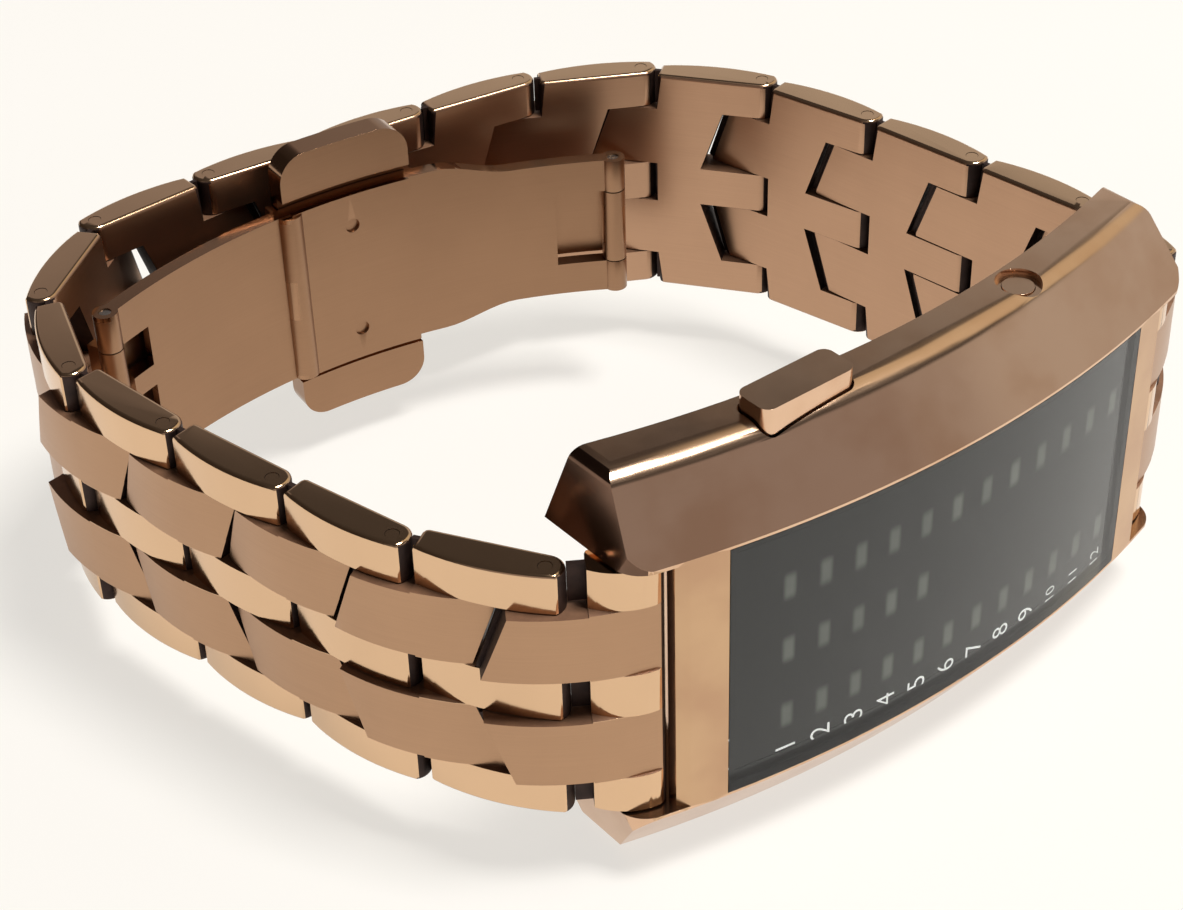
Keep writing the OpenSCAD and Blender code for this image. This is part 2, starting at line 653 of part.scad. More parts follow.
module clasp_base() color(brushed_gold) at_seam() difference() {
    union() {
        intersection() {
            union() {
                sector(clasp_radius, blade_r, -hinge_angle, hinge_angle, base_w / 2);
                for (side = [-1, 1]) at_hinge(side) rod(knuckle_r, -base_w / 2, base_w / 2);
            }
            base_plan();
        }
        for (x = [-1, 1], z = [-1, 1]) {
            translate([cover_mid + x * (button_x + slip + rib_w / 2) - rib_w / 2,
                -clasp_depth + base_t - 0.5, z > 0 ? 5.4 : -7.3]) cube([rib_w, 1.4, 1.9]);
            translate([cover_mid - 2.2, -clasp_depth + base_t - 0.5,
                       z > 0 ? rib_z : -rib_z - rib_t]) cube([4.4, 1.5, rib_t]);
        }
    }
    // Right slot, and the left slot with its middle tab
    translate([hinge_r * sin(hinge_angle) - 4.6, -40, -right_slot / 2]) cube([10, 60, right_slot]);
    difference() {
        translate([-hinge_r * sin(hinge_angle) - 8, -40, -left_slot / 2]) cube([11.4, 60, left_slot]);
        translate([-hinge_r * sin(hinge_angle) + 1.4, -40, -0.9]) cube([4, 60, 1.8]);
    }
    for (side = [-1, 1]) at_hinge(side) rod(pin_r + fit, -base_w, base_w);
}

// Cover over the middle of the blade, with a raised bead along its left edge
module clasp_cover() color(brushed_gold) at_seam() {
    a0 = asin((cover_mid - cover_x) / clasp_radius);
    a1 = asin((cover_mid + cover_x) / clasp_radius);
    difference() {
        union() {
            sector(clasp_radius - cover_t, clasp_radius - seat_gap, a0, a1, base_w / 2 + 0.1);
            intersection() {
                rotate_at_clasp(a0) rod(1.05, -base_w / 2, base_w / 2);
                sector(clasp_radius - 2, clasp_radius - seat_gap, 2 * a0, a1, base_w);
            }
        }
        for (z = [-1, 1]) translate([cover_mid, 0, z * 4.8])
            bore_y(0.6, -clasp_depth - cover_t - 1, -clasp_depth - cover_t + 0.25);
    }
}

module rotate_at_clasp(a) translate([(clasp_radius + 0.2) * sin(a),
    clasp_cy + (clasp_radius + 0.2) * cos(a), 0]) children();

// Push-button above the blade's edge: thin inside, thick outside
module button(side) at_seam() mirror([0, 0, side < 0 ? 1 : 0]) difference() {
    union() {
        intersection() {
            sector(blade_r + slip, arm_r1 - 0.1, -12, 12, 20);
            button_plan(rib_z + rib_t + button_travel + slip);
        }
        intersection() {
            sector(clasp_radius + 0.3, arm_r1 - 0.1, -12, 12, 20);
            button_plan(base_w / 2 + button_travel + 0.1);
        }
    }
    translate([cover_mid, spring_y, 0]) rod(0.48, rib_z, button_bore_end);
}

module button_plan(z0) translate([cover_mid, 20, 0]) rotate([90, 0, 0]) linear_extrude(80)
    intersection() {
        translate([0, button_reach / 2]) rounded_square(2 * button_x, button_reach, 2.2);
        translate([-button_x, z0]) square([2 * button_x, button_reach - z0]);
    }

module button_upper() color(gold) button(1);
module button_lower() color(gold) button(-1);

module button_springs() color(steel) at_seam() for (m = [0, 1]) mirror([0, 0, m])
    translate([cover_mid, spring_y, rib_z + rib_t + seat_gap])
        coil(0.33, spring_wire, button_bore_end - rib_z - rib_t - 2 * seat_gap, 5);

module arm(side, width) {
    a_tip = asin((tip_x - 0.6) / arm_r1);
    mirror([side < 0 ? 1 : 0, 0, 0]) difference() {
        union() {
            sector(arm_r0, arm_r1, a_tip, hinge_angle + 0.5, width / 2);
            sector(hinge_r, arm_r1, hinge_angle - 1.2, hinge_angle + 0.5, width / 2);
            at_hinge(1) rod(knuckle_r, -width / 2, width / 2);
            at_tip(1) rod(tip_knuckle_r, -tip_w / 2, tip_w / 2);
            translate([tip_x - 0.6, clasp_cy + arm_r1 - 0.3, -tip_w / 2])
                cube([1.2, tip_y - clasp_cy - arm_r1 + 0.3, tip_w]);
        }
        at_hinge(1) rod(pin_r + fit, -width, width);
        at_tip(1) rod(tip_pin_r + fit, -width, width);
    }
}

module arm_left() color(brushed_gold) at_seam() arm(-1, left_slot - 2 * slip);
module arm_right() color(brushed_gold) at_seam() arm(1, right_slot - 2 * slip);

module arm_pins(side) at_seam() {
    at_hinge(side) rod(pin_r, -(side < 0 ? base_w : wing_w) / 2 + 0.1,
                       (side < 0 ? base_w : wing_w) / 2 - 0.1);
    at_tip(side) rod(tip_pin_r, -z_edge + 0.5, z_edge - 0.5);
}
module arm_pins_left() color(steel) arm_pins(-1);
module arm_pins_right() color(steel) arm_pins(1);

case_body();
crystal();
display_mask();
led_lamps();
circuit_board();
board_chips();
movement_frame();
battery();
battery_clip();
case_back();
back_gasket();
back_screws();
main_pusher();
set_pusher();
pusher_springs();
spring_bar_right();
spring_bar_left();
link(-1, 0);  // end_link_left
link(1, 0);  // end_link_right
link(-1, 1);  // link_left_1
link(-1, 2);  // link_left_2
link(-1, 3);  // link_left_3
link(-1, 4);  // link_left_4
link(-1, 5);  // link_left_5
link(-1, 6);  // link_left_6
link(-1, 7);  // link_left_7
link(-1, 8);  // link_left_8
link(1, 1);  // link_right_1
link(1, 2);  // link_right_2
link(1, 3);  // link_right_3
link(1, 4);  // link_right_4
link(1, 5);  // link_right_5
link(1, 6);  // link_right_6
link(1, 7);  // link_right_7
link(1, 8);  // link_right_8
hinge_pin(-1, 1);  // pin_left_1
hinge_pin(-1, 2);  // pin_left_2
hinge_pin(-1, 3);  // pin_left_3
hinge_pin(-1, 4);  // pin_left_4
hinge_pin(-1, 5);  // pin_left_5
hinge_pin(-1, 6);  // pin_left_6
hinge_pin(-1, 7);  // pin_left_7
hinge_pin(-1, 8);  // pin_left_8
hinge_pin(1, 1);  // pin_right_1
hinge_pin(1, 2);  // pin_right_2
hinge_pin(1, 3);  // pin_right_3
hinge_pin(1, 4);  // pin_right_4
hinge_pin(1, 5);  // pin_right_5
hinge_pin(1, 6);  // pin_right_6
hinge_pin(1, 7);  // pin_right_7
hinge_pin(1, 8);  // pin_right_8
clasp_base();
clasp_cover();
button_upper();
button_lower();
button_springs();
arm_left();
arm_right();
arm_pins_left();
arm_pins_right();
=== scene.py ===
"""The digital watch on its link bracelet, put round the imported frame

Rounded edges, metals, smoked glass, dial marks, light and camera. Every length is in metres.
"""
import json
import math

import bpy
from mathutils import Matrix, Vector

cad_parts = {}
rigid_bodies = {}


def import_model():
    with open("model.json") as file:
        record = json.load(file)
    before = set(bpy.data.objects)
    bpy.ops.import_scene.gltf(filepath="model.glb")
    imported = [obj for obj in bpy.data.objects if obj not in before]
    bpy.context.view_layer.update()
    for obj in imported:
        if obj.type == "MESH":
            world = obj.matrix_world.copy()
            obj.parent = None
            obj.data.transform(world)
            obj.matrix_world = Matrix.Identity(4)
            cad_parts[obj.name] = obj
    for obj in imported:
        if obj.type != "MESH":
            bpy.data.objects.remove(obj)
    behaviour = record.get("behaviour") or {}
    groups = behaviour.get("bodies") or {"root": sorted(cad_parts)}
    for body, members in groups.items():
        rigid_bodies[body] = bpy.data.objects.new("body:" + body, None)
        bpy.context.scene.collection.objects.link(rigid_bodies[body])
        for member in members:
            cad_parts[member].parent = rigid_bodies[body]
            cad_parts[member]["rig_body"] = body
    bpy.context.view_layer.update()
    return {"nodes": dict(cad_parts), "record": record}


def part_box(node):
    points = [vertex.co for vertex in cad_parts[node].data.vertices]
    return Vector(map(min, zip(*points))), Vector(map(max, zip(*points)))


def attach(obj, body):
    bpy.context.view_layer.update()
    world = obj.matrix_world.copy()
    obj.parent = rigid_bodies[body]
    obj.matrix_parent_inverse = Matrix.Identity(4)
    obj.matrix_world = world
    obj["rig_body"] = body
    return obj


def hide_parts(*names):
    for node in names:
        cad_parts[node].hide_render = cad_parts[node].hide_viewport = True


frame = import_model()
nodes = frame["nodes"]

MM = 0.001
glass_low, glass_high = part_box("crystal")
CASE_X = (glass_low.x + glass_high.x) / 2   # the case's middle
GLASS_Y = glass_low.y                       # the glass's highest line
MID_Z = (glass_low.z + glass_high.z) / 2    # the middle plane along the wrist
CENTRE = Vector((0.0, 0.001, MID_Z))        # the middle of the closed bracelet
CENTRE_ROW, WIDE_ROW = 1.7 * MM, 7.0 * MM   # the rows' outer edges from the middle
SIDE_FACE = 9.8 * MM                        # just inside the bracelet's side faces
SEAT = 0.07 * MM                            # just over the gap round the glass
CROSSBAR = 10.3 * MM                        # half the flat bar at each end of the glass
LUG_X = 21.0 * MM                           # where the lugs' ends begin, from the case's middle

# The bracelet, as in the part's source: along a link, and across the bracelet from its middle
LINKS_A_SIDE = 8
HALF_LINK = 1.25 * MM                       # from a pin back to where the narrow rows begin
REACH = 3.7 * MM                            # from the far pin to the slit past the wide rows
ROW_GAP, END_LINK_GAP = 0.4 * MM, 0.8 * MM  # between rows' ends, and what an end link adds
ROW_3, ROW_3_WIDTH = 8.5 * MM, 2.9 * MM     # the outer narrow rows' middle and width
WIDE_MIDDLE = 4.35 * MM                     # the wide rows' middle
SLANT = math.atan2(1.8, 5.3)                # of the slit at a wide row's end
SLIT_LENGTH = 5.2 * MM
BORE = 0.7 * MM                             # a little over the radius of any hinge bore

# The dark sills in the gaps, painted shade put where the gaps hold only shade: how far each goes
# into its link, its room to what it nears, its level from the pins outwards, its thickness, and
# how far a slit's sill stands over the slit
SILL_ROOT, SILL_ROOM, SILL_LEVEL, SILL_THICK = 0.2 * MM, 0.03 * MM, -0.2 * MM, 0.36 * MM
SLIT_SILL_LEVEL, OVERHANG = -0.7 * MM, 0.28 * MM

# Lamps behind the dial, and the printed film before them
lamps_low, lamps_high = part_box("led_lamps")
LAMP_W, LAMP_COUNT = 0.9 * MM, 12
LAMP_X0 = lamps_low.x + LAMP_W / 2 - CASE_X
LAMP_PITCH = (lamps_high.x - lamps_low.x - LAMP_W) / (LAMP_COUNT - 1)
LAMP_COLUMNS = [(-6.05 * MM, LAMP_COUNT), (-0.4 * MM, 5), (4.85 * MM, LAMP_COUNT)]
LAMP_SIDES = 0.2 * MM, 0.62 * MM            # where a lamp fades along X, from its middle
LAMP_ENDS = 0.5 * MM, 1.35 * MM             # and along Z
FRONT_RADIUS = 90 * MM                      # of the glass's curved front
FILM_RADIUS = FRONT_RADIUS - 1.28 * MM      # of the printed film, just behind the glass
FILM_HALF, FILM_THICK, FILM_WIDTH = 17.6 * MM, 0.04 * MM, 18.2 * MM
NUMBER_Z, NUMBER_SIZE = 8.9 * MM, 2.3 * MM
INK_TRIM, INK_THICK, INK_LIFT = 0.028 * MM, 0.012 * MM, 0.065 * MM   # pared, raised and laid

# Shaping
MERGE = 2e-7                                # points closer than this are one
FLAT, SOFT = math.radians(0.8), math.radians(34)    # corners dissolved, and shaded smooth
END_CUT, SIDE_EASE, EDGE_EASE = 0.4 * MM, 0.3 * MM, 0.13 * MM    # bevels on a link

# Sockets of Blender's nodes that have no name of their own
GENERATED, NORMAL, OBJECT = 0, 1, 3         # outputs of Texture Coordinate
SHARE, FIRST, SECOND, MIXED = 0, 6, 7, 2    # of Mix with colours


def tint(red, green, blue):
    """A colour given as it looks, from 0 to 255, in the renderer's own linear values"""
    return tuple((c / 255 / 12.92 if c <= 10 else ((c / 255 + 0.055) / 1.055) ** 2.4)
                 for c in (red, green, blue)) + (1.0,)


# ---------------------------------------------------------------- finishes

class Value:
    """Something that changes over a surface. Python's operators add the Math nodes."""

    def __init__(self, finish, socket):
        self.finish, self.socket = finish, socket

    def math(self, operation, *inputs):
        return self.finish.add("ShaderNodeMath", {"operation": operation}, *inputs)

    def __add__(self, other): return self.math("ADD", self, other)
    def __radd__(self, other): return self.math("ADD", other, self)
    def __sub__(self, other): return self.math("SUBTRACT", self, other)
    def __rsub__(self, other): return self.math("SUBTRACT", other, self)
    def __mul__(self, other): return self.math("MULTIPLY", self, other)
    def __rmul__(self, other): return self.math("MULTIPLY", other, self)
    def __truediv__(self, other): return self.math("DIVIDE", self, other)
    def __abs__(self): return self.math("ABSOLUTE", self)

    def step(self, low, high):
        """0 below low, 1 above high, and smooth between"""
        return self.finish.add("ShaderNodeMapRange", {"interpolation_type": "SMOOTHSTEP"},
                               self, low, high, 0.0, 1.0)


class Finish:
    """A material of one surface shader, with the values that feed it"""

    def __init__(self, name, **fixed):
        self.material = bpy.data.materials.new(name)
        self.material.use_nodes = True
        self.tree = self.material.node_tree
        self.tree.nodes.clear()
        self.shader = self.tree.nodes.new("ShaderNodeBsdfPrincipled")
        self.output = self.tree.nodes.new("ShaderNodeOutputMaterial")
        self.tree.links.new(self.shader.outputs[0], self.output.inputs["Surface"])
        for socket, value in fixed.items():
            self.feed(socket, value)

    def put(self, socket, value):
        if isinstance(value, Value):
            self.tree.links.new(value.socket, socket)
        elif value is not None:
            socket.default_value = value

    def feed(self, socket, value):
        """Sets or links a socket of the shader, by its name with _ for spaces"""
        self.put(self.shader.inputs[socket.replace("_", " ")], value)

    def add(self, kind, settings, *inputs, out=0):
        node = self.tree.nodes.new(kind)
        for name, value in settings.items():
            setattr(node, name, value)
        for socket, value in zip(node.inputs, inputs):
            self.put(socket, value)
        return Value(self, node.outputs[out])

    def place(self):
        """Object coordinates"""
        return self.add("ShaderNodeTexCoord", {}, out=OBJECT)

    def facing(self):
        """The way a face looks, in the piece's own frame"""
        return self.add("ShaderNodeTexCoord", {}, out=NORMAL)

    def split(self, vector):
        whole = self.add("ShaderNodeSeparateXYZ", {}, vector)
        return [Value(self, s) for s in whole.socket.node.outputs]

    def vector(self, operation, *inputs, out=0):
        return self.add("ShaderNodeVectorMath", {"operation": operation}, *inputs, out=out)

    def mix(self, share, low, high):
        node = self.tree.nodes.new("ShaderNodeMix")
        node.data_type = "RGBA"
        for index, value in ((SHARE, share), (FIRST, low), (SECOND, high)):
            self.put(node.inputs[index], value)
        return Value(self, node.outputs[MIXED])

    def noise(self, stretch, detail=2.0, roughness=0.5):
        """Noise over the piece's own place, its grain given as cycles a metre in X, Y and Z"""
        moved = self.vector("MULTIPLY", self.place(), stretch)
        return self.add("ShaderNodeTexNoise", {"noise_dimensions": "3D"},
                        moved, None, 1.0, detail, roughness)

    def bump(self, height, strength, depth):
        node = self.tree.nodes.new("ShaderNodeBump")
        self.put(node.inputs["Strength"], strength)
        self.put(node.inputs["Distance"], depth)
        self.put(node.inputs["Height"], height)
        self.feed("Normal", Value(self, node.outputs[0]))


def inner_face(finish):
    """1 on faces that look at the wrist, and 0 on all others"""
    inward = finish.vector("NORMALIZE", finish.vector(
        "MULTIPLY", finish.vector("SUBTRACT", tuple(CENTRE), finish.place()), (1.0, 1.0, 0.0)))
    return finish.vector("DOT_PRODUCT", inward, finish.facing(), out=1).step(0.35, 0.75)


def polished(name, colour, shade, low=0.10, high=0.20):
    """A mirror polish with faint clouding, fine hairlines and a warmer tone in the clouds"""
    finish = Finish(name, Metallic=1.0)
    clouds = finish.noise((160.0, 160.0, 160.0), 3.0)
    hairs = finish.noise((300.0, 300.0, 14000.0), 3.0, 0.6)
    cross = finish.noise((9000.0, 9000.0, 240.0), 2.0, 0.6)
    inner = inner_face(finish)
    finish.feed("Base_Color", finish.mix(clouds.step(0.35, 0.7), colour, shade))
    finish.feed("Roughness", low + (high - low) * hairs + 0.06 * clouds + 0.12 * inner)
    finish.bump(hairs + 0.5 * cross, 0.05, 6e-6)
    return finish.material


def linked(name, bright, brushed, inside):
    """The bracelet's finish: polished narrow rows, brushed wide rows, and satin inner faces"""
    finish = Finish(name, Metallic=1.0)
    _, _, z = finish.split(finish.place())
    height = abs(z - MID_Z)
    wide = height.step(CENTRE_ROW, CENTRE_ROW + 0.06 * MM) - height.step(
        WIDE_ROW, WIDE_ROW + 0.06 * MM)
    inner = inner_face(finish)
    grain = finish.noise((140.0, 140.0, 16000.0), 4.0, 0.65)
    clouds = finish.noise((190.0, 190.0, 120.0), 3.0)
    satin = wide + (1.0 - wide) * inner
    outer = finish.mix(wide, bright, brushed)
    tone = finish.mix(inner, outer, inside)
    tone = finish.mix(0.16 * satin * grain + 0.12 * clouds, tone, tint(96, 70, 54))
    finish.feed("Base_Color", tone)
    finish.feed("Roughness", 0.11 + 0.15 * satin + 0.10 * satin * grain + 0.05 * clouds)
    finish.bump(grain, 0.12, 8e-6)
    return finish.material


def plain(name, colour, shade, metallic, low, high, grain=900.0, depth=8e-6, **fixed):
    """A hidden or small part's finish: two close tones, and a grain that shows up close"""
    finish = Finish(name, Metallic=metallic, **fixed)
    grains = finish.noise((grain, grain, grain), 4.0, 0.6)
    finish.feed("Base_Color", finish.mix(grains.step(0.3, 0.7), colour, shade))
    finish.feed("Roughness", low + (high - low) * grains)
    finish.bump(grains, 0.2, depth)
    return finish.material


def smoked_glass():
    """Faintly grey crystal, with the least trace of handling in its gloss"""
    finish = Finish("smoked_glass", Base_Color=(0.80, 0.81, 0.80, 1.0), Transmission_Weight=1.0,
                    IOR=1.34, Metallic=0.0)
    smear = finish.noise((70.0, 70.0, 110.0), 3.0)
    finish.feed("Roughness", 0.01 + 0.03 * smear.step(0.45, 0.75))
    return finish.material


def dial_finish():
    """Dark grained film over the lamps, paler and soft-edged where a lamp lies under it"""
    finish = Finish("dial_film", Metallic=0.0, Specular_IOR_Level=0.3)
    x, _, z = finish.split(finish.place())
    along = (x - (CASE_X + LAMP_X0 - LAMP_PITCH / 2)) / LAMP_PITCH
    count = finish.add("ShaderNodeMath", {"operation": "FLOOR"}, along)
    across = abs(along - count - 0.5) * LAMP_PITCH
    width = 1.0 - across.step(*LAMP_SIDES)
    glow = None
    for middle, lamps in LAMP_COLUMNS:
        length = 1.0 - abs(z - (MID_Z + middle)).step(*LAMP_ENDS)
        column = length * (1.0 - count.step(lamps - 0.6, lamps - 0.4)) * count.step(-0.6, -0.4)
        glow = column if glow is None else glow + column
    grain = finish.noise((9000.0, 9000.0, 9000.0), 3.0, 0.7)
    patch = finish.noise((240.0, 240.0, 240.0), 2.0)
    film = finish.mix(0.15 * grain + 0.3 * patch, tint(28, 27, 27), tint(33, 32, 31))
    lit = finish.mix(patch.step(0.3, 0.7), tint(150, 157, 147), tint(166, 172, 161))
    finish.feed("Base_Color", finish.mix(0.85 * width * glow, film, lit))
    finish.feed("Roughness", 0.55 + 0.03 * grain)
    return finish.material


# ---------------------------------------------------------------- pieces

def only(piece):
    """Selects one object and makes it the active one"""
    bpy.ops.object.select_all(action="DESELECT")
    piece.select_set(True)
    bpy.context.view_layer.objects.active = piece


def dress(piece, material):
    """Gives a piece one material all over"""
    piece.data.materials.clear()
    piece.data.materials.append(material)


def body_of(node):
    return nodes[node]["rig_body"]


def copied(node, ending):
    """A merged copy of a node's own form, as the active piece"""
    source = nodes[node]
    piece = source.copy()
    piece.data = source.data.copy()
    piece.parent = None
    for key in list(piece.keys()):
        del piece[key]
    piece.name = piece.data.name = node + ending
    bpy.context.scene.collection.objects.link(piece)
    only(piece)
    bpy.ops.mesh.customdata_custom_splitnormals_clear()
    bpy.ops.object.mode_set(mode="EDIT")
    bpy.ops.mesh.select_all(action="SELECT")
    bpy.ops.mesh.remove_doubles(threshold=MERGE)
    bpy.ops.mesh.dissolve_limited(angle_limit=FLAT)
    bpy.ops.object.mode_set(mode="OBJECT")
    return piece


def smoothed(piece):
    """Soft shading over rounded edges, with the large faces left flat"""
    only(piece)
    bpy.ops.object.shade_smooth_by_angle(angle=SOFT)
    weighted = piece.modifiers.new("shading", "WEIGHTED_NORMAL")
    weighted.weight = 50
    weighted.keep_sharp = True
    bpy.ops.object.modifier_apply(modifier="shading")


def sharp_edges(mesh, corner=30):
    """Outward edges where two faces meet at over this many degrees, each with their normals"""
    sides = {}
    for face in mesh.polygons:
        for key in face.edge_keys:
            sides.setdefault(key, []).append(face)
    for edge in mesh.edges:
        faces = sides.get(edge.key, [])
        if len(faces) == 2:
            one, two = faces
            if (one.normal.angle(two.normal, 0.0) > math.radians(corner)
                    and (two.center - one.center).dot(one.normal) < 0):
                yield edge, (one.normal, two.normal)


def bevelled(mesh, chosen, width, segments):
    """Bevels the chosen edges of the active piece, as by hand"""
    bpy.context.tool_settings.mesh_select_mode = (False, True, False)
    bpy.ops.object.mode_set(mode="EDIT")
    bpy.ops.mesh.select_all(action="DESELECT")
    bpy.ops.object.mode_set(mode="OBJECT")
    for edge in chosen(mesh):
        edge.select = True
    bpy.ops.object.mode_set(mode="EDIT")
    bpy.ops.mesh.bevel(offset=width, segments=segments, profile=0.5, affect="EDGES",
                       clamp_overlap=True, miter_outer="ARC")
    bpy.ops.object.mode_set(mode="OBJECT")


def rounded(node, width, finish, corner=32, segments=2):
    """The node's own form with its outward sharp edges rounded, standing in for the node"""
    piece = copied(node, "_rounded")
    bevelled(piece.data, lambda mesh: [edge for edge, _ in sharp_edges(mesh, corner)],
             width, segments)
    smoothed(piece)
    dress(piece, finish)
    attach(piece, body_of(node))
    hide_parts(node)
    return piece


def pin_place(side, number):
    """The middle of a strand's hinge pin, counted from its spring bar, which is number 0"""
    name = f"pin_{side}_{number}" if number else "spring_bar_" + side
    low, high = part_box(name)
    return (low + high) / 2


def link_lie(name):
    """A link's first pin, its far pin, the way between them and the way out of the loop"""
    words = name.split("_")
    side, number = (words[2], 0) if words[0] == "end" else (words[1], int(words[2]))
    other = "right" if side == "left" else "left"
    start = pin_place(side, number)
    goal = (pin_place(side, number + 1) if number < LINKS_A_SIDE
            else pin_place(other, LINKS_A_SIDE))
    along = (goal - start).normalized()
    out = along.cross(Vector((0, 0, 1)))
    if out.dot(start - CENTRE) < 0:
        out.negate()
    return start, goal, along, out


def block(lie, centre, size, turn):
    """A small block in a link's own frame: along it, out of the loop and across"""
    start, _, along, out = lie
    frame_of_link = Matrix((along, out, along.cross(out))).transposed().to_4x4()
    bpy.ops.object.select_all(action="DESELECT")
    bpy.ops.mesh.primitive_cube_add(size=1.0, location=(0, 0, 0))
    piece = bpy.context.object
    piece.data.transform(
        Matrix.Translation(start) @ frame_of_link @ Matrix.Translation(centre)
        @ Matrix.Rotation(turn, 4, "Y") @ Matrix.Diagonal((*size, 1.0)))
    return piece


def gap_sills(name, piece, shadowed):
    """Dark sills on the inner half of the gaps at a link's far end, joined to the link: painted
    shade, put where the gaps hold only shade
    """
    lie = link_lie(name)
    start, goal, along, _ = lie
    pitch = (goal - start).length
    narrow_end = pitch - HALF_LINK - ROW_GAP - (END_LINK_GAP if name.startswith("end") else 0.0)
    sills = []
    low, high = narrow_end - SILL_ROOT, pitch - HALF_LINK - SILL_ROOM
    for middle, width in ((0.0, 2 * CENTRE_ROW), (ROW_3, ROW_3_WIDTH), (-ROW_3, ROW_3_WIDTH)):
        sills.append(block(lie, ((low + high) / 2, SILL_LEVEL, middle),
                           (high - low, SILL_THICK, width - SILL_ROOM), 0.0))
    slit = pitch + REACH - ROW_GAP / 2 + (OVERHANG - SILL_ROOT) / 2
    for way in (-1, 1):
        sills.append(block(lie, (slit, SLIT_SILL_LEVEL, way * WIDE_MIDDLE),
                           (OVERHANG + SILL_ROOT, SILL_THICK, SLIT_LENGTH), -way * SLANT))
    for sill in sills:
        dress(sill, shadowed)
    bpy.ops.object.select_all(action="DESELECT")
    for each in sills + [piece]:
        each.select_set(True)
    bpy.context.view_layer.objects.active = piece
    bpy.ops.object.join()


def bevelled_link(name, bright, shadowed, between):
    """A link with its inner ends cut back, its other edges eased and its gap walls darkened with
    painted shade
    """
    start, goal, along, out = link_lie(name)
    piece = copied(name, "_eased")
    mesh = piece.data

    def inner_ends(mesh):
        for edge, normals in sharp_edges(mesh):
            a, b = sorted(normals, key=lambda normal: normal.dot(out))
            if a.dot(out) < -0.9 and abs(b.dot(out)) < 0.3 and abs(b.dot(along)) > 0.55:
                yield edge

    def near_bore(edge):
        points = [mesh.vertices[v].co for v in edge.vertices]
        return any(all(math.hypot(p.x - c.x, p.y - c.y) < BORE for p in points)
                   for c in (start, goal))

    def on_side(edge):
        return all(abs(mesh.vertices[v].co.z - MID_Z) > SIDE_FACE for v in edge.vertices)

    bevelled(mesh, inner_ends, END_CUT, 2)
    bevelled(mesh, lambda mesh: [edge for edge, _ in sharp_edges(mesh)
                                 if on_side(edge) and not near_bore(edge)], SIDE_EASE, 3)
    bevelled(mesh, lambda mesh: [edge for edge, _ in sharp_edges(mesh)
                                 if not on_side(edge) and not near_bore(edge)], EDGE_EASE, 2)
    smoothed(piece)
    dress(piece, bright)
    mesh.materials.append(shadowed)
    mesh.materials.append(between)
    # Painted shade on the walls in the gaps: dark gold on the gap walls, and a darker mid gold on
    # the walls between rows
    for face in mesh.polygons:
        rise = face.normal.dot(out)
        if -0.93 < rise < 0.6 and abs(face.center.z - MID_Z) < SIDE_FACE:
            face.material_index = 2 if abs(face.normal.z) > 0.8 else 1
    if not name.endswith(f"_{LINKS_A_SIDE}"):
        gap_sills(name, piece, shadowed)
    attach(piece, body_of(name))
    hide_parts(name)


def dial_y(x):
    """The film's height at x from the case's middle"""
    return GLASS_Y + FRONT_RADIUS - math.sqrt(FILM_RADIUS ** 2 - x ** 2)


def printed_film(finish):
    """The film over the lamps, spun about the front's own axis"""
    sweep = 2 * math.asin(FILM_HALF / FILM_RADIUS)
    axis = Vector((CASE_X, GLASS_Y + FRONT_RADIUS, MID_Z))
    bpy.ops.object.select_all(action="DESELECT")
    bpy.ops.mesh.primitive_plane_add(size=1.0, location=(0, 0, 0))
    piece = bpy.context.object
    piece.name = piece.data.name = "printed_film"
    quarter = math.radians(90)
    piece.data.transform(
        Matrix.Translation(axis) @ Matrix.Rotation(-sweep / 2, 4, "Z")
        @ Matrix.Translation((0, -FILM_RADIUS, 0)) @ Matrix.Rotation(quarter, 4, "Z")
        @ Matrix.Rotation(quarter, 4, "X")
        @ Matrix.Diagonal((FILM_THICK, FILM_WIDTH, 1.0, 1.0)))
    bpy.ops.object.mode_set(mode="EDIT")
    bpy.ops.mesh.select_all(action="SELECT")
    bpy.ops.mesh.spin(steps=48, angle=-sweep, center=axis, axis=(0, 0, 1))
    bpy.ops.mesh.select_all(action="SELECT")
    bpy.ops.mesh.normals_make_consistent(inside=False)
    bpy.ops.object.mode_set(mode="OBJECT")
    bpy.ops.object.shade_smooth_by_angle(angle=math.radians(28))
    dress(piece, finish)
    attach(piece, "case")


def digit(text, place, glowing_ink):
    """A printed number on the dial, read with the wrist turned, its top towards the left lug"""
    bpy.ops.object.select_all(action="DESELECT")
    bpy.ops.object.text_add()
    piece = bpy.context.object
    piece.data.body = text
    piece.data.size = NUMBER_SIZE / len(text) ** 0.6
    piece.data.align_x, piece.data.align_y = "CENTER", "CENTER"
    piece.data.offset = -INK_TRIM
    piece.data.extrude = INK_THICK
    piece.data.resolution_u = 3
    only(piece)
    bpy.ops.object.convert(target="MESH")
    piece = bpy.context.object
    piece.name = piece.data.name = "number_" + text
    x = LAMP_X0 + LAMP_PITCH * place
    turned = Matrix(((0, -1, 0, 0), (0, 0, -1, 0), (1, 0, 0, 0), (0, 0, 0, 1)))
    lean = Matrix.Rotation(math.asin(x / FILM_RADIUS), 4, "Z")
    piece.data.transform(
        Matrix.Translation((CASE_X + x, dial_y(x) - INK_LIFT, MID_Z - NUMBER_Z)) @ lean @ turned)
    dress(piece, glowing_ink)
    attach(piece, "case")


# ---------------------------------------------------------------- the watch

